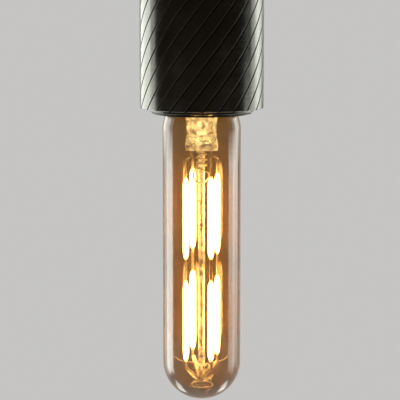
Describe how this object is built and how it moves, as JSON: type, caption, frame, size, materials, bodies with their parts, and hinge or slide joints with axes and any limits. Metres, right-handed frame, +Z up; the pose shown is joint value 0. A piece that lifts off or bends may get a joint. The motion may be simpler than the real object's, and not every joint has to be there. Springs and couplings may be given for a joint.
{
  "type": "led tube lamp in lampholder",
  "caption": "Tubular LED filament lamp with an E27 cap, screwed into a turned metal lampholder with spiral grooves and an M10 entry in its top.",
  "frame": {"origin": "centre of the lampholder's flat top face, at the mouth of its cable entry", "axes": "+Z up along the common axis of holder and lamp, which hangs below; +X and +Y across, with the grip screw of the cable entry on +X"},
  "size_m": [0.0472, 0.0472, 0.1836],
  "materials": {
    "gunmetal": "dark nickel, finely brushed",
    "dark_ring": "dark nickel, satin",
    "brass": "plain brass",
    "contact_brass": "bright pressed brass",
    "zinc_steel": "zinc plated",
    "spring_steel": "drawn wire",
    "glazed_ceramic": "glazed white ceramic",
    "nickel_cap": "nickel plated brass",
    "black_insulator": "black vitreous insulator",
    "cement": "baked cement",
    "circuit_board": "green board",
    "black_chip": "moulded epoxy",
    "capacitor_sleeve": "shrunk sleeve",
    "resistor_body": "lacquer",
    "wire_sleeve": "insulated wire",
    "amber_glass": "clear glass with an amber tint",
    "stem_glass": "clear lead glass",
    "support_wire": "nickel-iron wire, warm in the light",
    "lit_filament": "phosphor coating, glowing warm white"
  },
  "bodies": {
    "holder": {"grooved_sleeve": "gunmetal", "mouth_ring": "dark_ring", "top_cap": "gunmetal", "entry_bush": "brass", "bush_nut": "zinc_steel", "grip_screw": "zinc_steel", "carrier_strap": "zinc_steel", "carrier_screws": "zinc_steel", "earth_screw": "brass", "ceramic_insert": "glazed_ceramic", "screw_shell": "contact_brass", "neutral_link": "contact_brass", "live_link": "contact_brass", "live_terminal": "brass", "neutral_terminal": "brass", "terminal_screws": "zinc_steel", "plunger_housing": "contact_brass", "contact_spring": "spring_steel"},
    "plunger": {"contact_plunger": "contact_brass", "plunger_clip": "zinc_steel"},
    "lamp_contact": {"lamp_eyelet": "nickel_cap"},
    "lamp": {"cap_shell": "nickel_cap", "cap_insulator": "black_insulator", "cap_cement": "cement", "driver_board": "circuit_board", "bridge_rectifier": "black_chip", "smoothing_capacitor": "capacitor_sleeve", "fuse_resistor": "resistor_body", "driver_chip": "black_chip", "driver_wires": "wire_sleeve", "glass_envelope": "amber_glass", "stem": "stem_glass", "exhaust_tube": "stem_glass", "centre_rod": "stem_glass", "rod_binding": "support_wire", "lead_wires": "support_wire", "upper_forks": "support_wire", "upper_filament_1": "lit_filament", "upper_filament_2": "lit_filament", "upper_filament_3": "lit_filament", "upper_filament_4": "lit_filament", "lower_filament_1": "lit_filament", "lower_filament_2": "lit_filament", "lower_filament_3": "lit_filament", "lower_filament_4": "lit_filament", "top_tabs": "support_wire", "middle_tabs": "support_wire", "bottom_tabs": "support_wire", "bottom_spider": "support_wire", "centring_spring": "support_wire", "tail_ring": "support_wire"}
  },
  "joints": [
    {"name": "plunger_press", "type": "slide", "parent": "holder", "child": "plunger", "axis": [0, 0, 1], "range_m": [0, 0.0012], "stiffness_N_per_m": 900, "springref_m": -0.0025, "deforming": ["contact_spring"]},
    {"name": "lamp_travel", "type": "slide", "parent": "holder", "child": "lamp_contact", "axis": [0, 0, -1], "range_m": [0, 0.03266]},
    {"name": "lamp_turn", "type": "hinge", "parent": "lamp_contact", "child": "lamp", "pos_m": [0, 0, 0], "axis": [0, 0, -1], "range_deg": [0, 3240]}
  ],
  "couplings": [
    {"joint": "lamp_turn", "follows": "lamp_travel", "rad_per_m": 1731.4}
  ]
}
